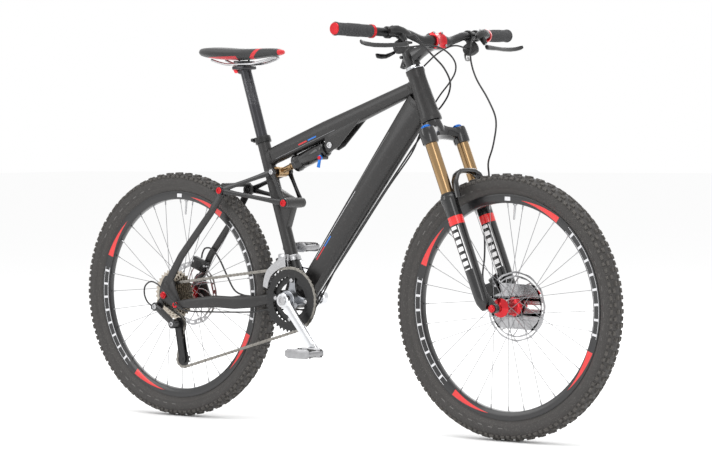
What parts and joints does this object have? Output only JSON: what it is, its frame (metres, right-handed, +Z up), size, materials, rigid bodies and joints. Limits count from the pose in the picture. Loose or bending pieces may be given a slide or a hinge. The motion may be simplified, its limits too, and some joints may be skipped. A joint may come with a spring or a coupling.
{
  "type": "mountain bike",
  "caption": "Full-suspension mountain bike with disc brakes, telescopic fork, four-bar rear linkage, air shock and flat bar.",
  "frame": {"origin": "on the ground, midway between the two wheels, in the bike's middle plane", "axes": "+X forward, +Z up, the chain side is -Y"},
  "size_m": [1.786, 0.7446, 1.053],
  "materials": {
    "frame_paint": "satin anthracite paint",
    "polished_alloy": "polished",
    "satin_black": "satin black",
    "satin_alloy": "satin",
    "bolt_alloy": "brushed",
    "red_anodised": "red anodised",
    "chain_steel": "oiled steel",
    "seatpost_satin": "dark satin anodised",
    "saddle_cover": "charcoal cover with red and white panels",
    "fork_gold": "gold-brown anodised, polished",
    "gloss_black": "gloss black",
    "grip_rubber": "ridged rubber",
    "control_plastic": "matte",
    "tyre_rubber": "knobbed tread",
    "rim_black": "black with red and white wedges",
    "hub_red": "red anodised shell, steel spokes",
    "rotor_steel": "brushed",
    "blue_anodised": "blue anodised",
    "crank_polished": "polished with dark sides",
    "pedal_alloy": "worn",
    "hose_black": "smooth hose"
  },
  "bodies": {
    "frame": {"main_frame": "frame_paint", "headset_upper": "polished_alloy", "bottom_bracket": "satin_black", "seat_clamp": "satin_black", "front_derailleur": "satin_alloy", "main_pivot_axle": "bolt_alloy", "rocker_pivot_axle": "red_anodised", "shock_upper_bolt": "bolt_alloy", "chain": "chain_steel", "rear_brake_hose": "hose_black", "rear_shift_cable": "hose_black", "front_shift_cable": "hose_black"},
    "seatpost": {"seatpost": "seatpost_satin", "saddle_rails": "bolt_alloy", "saddle": "saddle_cover"},
    "steering": {"fork_crown_unit": "fork_gold", "stem": "gloss_black", "stem_faceplate": "red_anodised", "handlebar": "satin_black", "grip_right": "grip_rubber", "grip_left": "grip_rubber", "brake_master_right": "satin_black", "brake_master_left": "satin_black", "shifter_right": "control_plastic", "shifter_left": "control_plastic", "front_brake_hose": "hose_black"},
    "fork_lowers": {"fork_lowers": "gloss_black", "front_axle": "red_anodised", "front_caliper": "satin_black"},
    "front_wheel": {"front_tyre": "tyre_rubber", "front_rim": "rim_black", "front_hub_spokes": "hub_red", "front_rotor": "rotor_steel"},
    "chainstays": {"chainstays": "gloss_black"},
    "seatstays": {"seatstays": "frame_paint", "rear_axle": "red_anodised", "rear_caliper": "satin_black", "derailleur_body": "gloss_black", "derailleur_cage": "satin_black"},
    "rocker": {"rocker": "gloss_black"},
    "shock_can": {"shock_can": "gloss_black"},
    "shock_shaft": {"shock_shaft": "fork_gold"},
    "shock_lever": {"shock_lever": "blue_anodised"},
    "rear_wheel": {"rear_tyre": "tyre_rubber", "rear_rim": "rim_black", "rear_hub_spokes": "hub_red", "rear_rotor": "rotor_steel"},
    "cassette": {"cassette": "chain_steel"},
    "pulley_guide": {"pulley_guide": "control_plastic"},
    "pulley_tension": {"pulley_tension": "control_plastic"},
    "crank": {"crank_right": "crank_polished", "crank_left": "crank_polished", "chainring_big": "satin_black", "chainring_small": "satin_black"},
    "pedal_right": {"pedal_right": "pedal_alloy"},
    "pedal_left": {"pedal_left": "pedal_alloy"},
    "brake_lever_right": {"brake_lever_right": "gloss_black"},
    "brake_lever_left": {"brake_lever_left": "gloss_black"},
    "shift_trigger_right": {"shift_trigger_right": "gloss_black"},
    "shift_trigger_left": {"shift_trigger_left": "gloss_black"}
  },
  "joints": [
    {"name": "seatpost_slide", "type": "slide", "parent": "frame", "child": "seatpost", "axis": [-0.3007, 0, 0.9537], "range_m": [-0.12, 0.06]},
    {"name": "steering_turn", "type": "hinge", "parent": "frame", "child": "steering", "pos_m": [0.26731, 0, 0.94031], "axis": [-0.3697, 0, 0.9291], "range_deg": [-50, 50], "deforming": ["rear_brake_hose", "rear_shift_cable", "front_shift_cable"]},
    {"name": "fork_travel", "type": "slide", "parent": "steering", "child": "fork_lowers", "axis": [-0.3697, 0, 0.9291], "range_m": [0, 0.1], "stiffness_N_per_m": 9000, "deforming": ["front_brake_hose"]},
    {"name": "front_wheel_spin", "type": "hinge", "parent": "fork_lowers", "child": "front_wheel", "pos_m": [0.555, 0, 0.338], "axis": [0, 1, 0], "continuous": true},
    {"name": "chainstay_pivot", "type": "hinge", "parent": "frame", "child": "chainstays", "pos_m": [-0.162, 0, 0.348], "axis": [0, 1, 0], "range_deg": [0, 15], "stiffness_Nm_per_rad": 900, "deforming": ["chain"]},
    {"name": "seatstay_pivot", "type": "hinge", "parent": "chainstays", "child": "seatstays", "pos_m": [-0.508, 0, 0.313], "axis": [0, 1, 0], "range_deg": [-10.58, 0]},
    {"name": "rocker_pivot", "type": "hinge", "parent": "frame", "child": "rocker", "pos_m": [-0.14595, 0, 0.59494], "axis": [0, 1, 0], "range_deg": [0, 23.17]},
    {"name": "shock_swing", "type": "hinge", "parent": "frame", "child": "shock_can", "pos_m": [-0.00495, 0, 0.74894], "axis": [0, 1, 0], "range_deg": [-0.7, 0]},
    {"name": "shock_stroke", "type": "slide", "parent": "shock_can", "child": "shock_shaft", "axis": [0.9323, 0, 0.3617], "range_m": [0, 0.03736]},
    {"name": "shock_lever_turn", "type": "hinge", "parent": "shock_can", "child": "shock_lever", "pos_m": [-0.03051, 0, 0.71592], "axis": [0, 1, 0], "range_deg": [-10, 50]},
    {"name": "rear_wheel_spin", "type": "hinge", "parent": "seatstays", "child": "rear_wheel", "pos_m": [-0.555, 0, 0.338], "axis": [0, 1, 0], "continuous": true},
    {"name": "crank_spin", "type": "hinge", "parent": "frame", "child": "crank", "pos_m": [-0.115, 0, 0.338], "axis": [0, 1, 0], "continuous": true},
    {"name": "cassette_spin", "type": "hinge", "parent": "seatstays", "child": "cassette", "pos_m": [-0.555, 0, 0.338], "axis": [0, 1, 0], "continuous": true},
    {"name": "pulley_guide_spin", "type": "hinge", "parent": "seatstays", "child": "pulley_guide", "pos_m": [-0.517, -0.05, 0.26], "axis": [0, 1, 0], "continuous": true},
    {"name": "pulley_tension_spin", "type": "hinge", "parent": "seatstays", "child": "pulley_tension", "pos_m": [-0.501, -0.05, 0.163], "axis": [0, 1, 0], "continuous": true},
    {"name": "pedal_right_spin", "type": "hinge", "parent": "crank", "child": "pedal_right", "pos_m": [0.00027, -0.13, 0.20633], "axis": [0, 1, 0], "continuous": true},
    {"name": "pedal_left_spin", "type": "hinge", "parent": "crank", "child": "pedal_left", "pos_m": [-0.23027, 0.13, 0.46967], "axis": [0, 1, 0], "continuous": true},
    {"name": "brake_lever_right_pull", "type": "hinge", "parent": "steering", "child": "brake_lever_right", "pos_m": [0.3698, -0.172, 1.0052], "axis": [-0.516, 0, -0.8566], "range_deg": [0, 12], "stiffness_Nm_per_rad": 2, "springref_deg": -5.73},
    {"name": "shift_trigger_right_push", "type": "hinge", "parent": "steering", "child": "shift_trigger_right", "pos_m": [0.31882, -0.152, 0.98323], "axis": [-0.3697, 0, 0.9291], "range_deg": [0, 12], "stiffness_Nm_per_rad": 0.5, "springref_deg": -5.73},
    {"name": "brake_lever_left_pull", "type": "hinge", "parent": "steering", "child": "brake_lever_left", "pos_m": [0.3698, 0.172, 1.0052], "axis": [0.516, 0, 0.8566], "range_deg": [0, 12], "stiffness_Nm_per_rad": 2, "springref_deg": -5.73},
    {"name": "shift_trigger_left_push", "type": "hinge", "parent": "steering", "child": "shift_trigger_left", "pos_m": [0.31882, 0.152, 0.98323], "axis": [0.3697, 0, -0.9291], "range_deg": [0, 12], "stiffness_Nm_per_rad": 0.5, "springref_deg": -5.73}
  ],
  "couplings": [
    {"joint": "seatstay_pivot", "follows": "chainstay_pivot", "ratio": -0.6912},
    {"joint": "rocker_pivot", "follows": "chainstay_pivot", "ratio": 1.5142},
    {"joint": "shock_swing", "follows": "chainstay_pivot", "ratio": -0.0456},
    {"joint": "shock_stroke", "follows": "chainstay_pivot", "m_per_rad": 0.1399},
    {"joint": "cassette_spin", "follows": "crank_spin", "ratio": 2.8},
    {"joint": "pulley_tension_spin", "follows": "crank_spin", "ratio": 3.8182},
    {"joint": "pulley_guide_spin", "follows": "crank_spin", "ratio": -3.8182}
  ]
}
